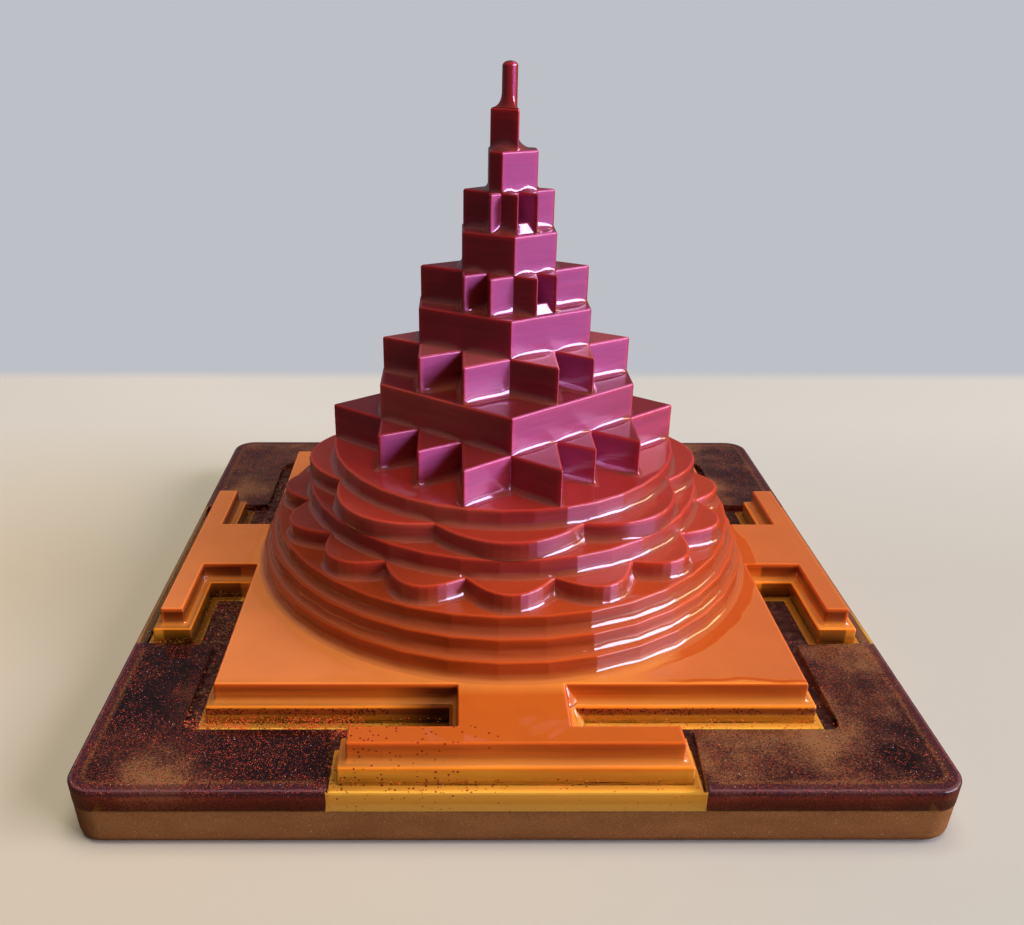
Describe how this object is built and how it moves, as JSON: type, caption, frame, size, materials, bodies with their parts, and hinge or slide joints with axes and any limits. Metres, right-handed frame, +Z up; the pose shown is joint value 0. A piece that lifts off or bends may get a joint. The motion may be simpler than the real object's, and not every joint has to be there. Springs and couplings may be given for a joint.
{
  "type": "meru shri yantra",
  "caption": "Stepped three-dimensional yantra: square gated tiers, rings, lotuses and stacked triangle stars with a pin on top, set in a square cast resin slab.",
  "frame": {"origin": "centre of the slab's flat underside", "axes": "+Z up through the pin; -Y towards the front, with one gate on each of +X, -X, +Y and -Y; the nine triangles' axis runs along X, with the inmost triangle's apex towards -X"},
  "size_m": [0.2, 0.2, 0.1595],
  "materials": {
    "resin_gold": "cast resin with gold pigment and fine glitter, softly glossy",
    "resin_purple": "cast resin, dark purple clouded with gold, with red glitter, high gloss",
    "print_yellow": "layered print under clear resin, high gloss",
    "print_amber": "layered print under a clear coat, high gloss",
    "print_orange": "layered print under a clear coat, high gloss",
    "print_rust": "layered print under a clear coat, high gloss",
    "print_brick": "layered print under a clear coat, high gloss",
    "print_red": "layered print under a clear coat, high gloss",
    "print_deep_red": "layered print under a clear coat, high gloss"
  },
  "bodies": {
    "root": {"resin_base_gold": "resin_gold", "resin_base_purple": "resin_purple", "bhupura_tier_lower": "print_yellow", "bhupura_tier_middle": "print_amber", "bhupura_tier_upper": "print_orange", "circle_tier_lower": "print_rust", "circle_tier_middle": "print_rust", "circle_tier_upper": "print_rust", "lotus_sixteen_petals": "print_brick", "round_plate_lower": "print_brick", "lotus_eight_petals": "print_red", "round_plate_upper": "print_red", "star_fourteen_points": "print_deep_red", "star_plate_first": "print_deep_red", "star_ten_points_outer": "print_deep_red", "star_plate_second": "print_deep_red", "star_ten_points_inner": "print_deep_red", "star_plate_third": "print_deep_red", "star_eight_points": "print_deep_red", "star_plate_fourth": "print_deep_red", "central_triangle": "print_deep_red", "bindu": "print_deep_red"}
  },
  "joints": []
}
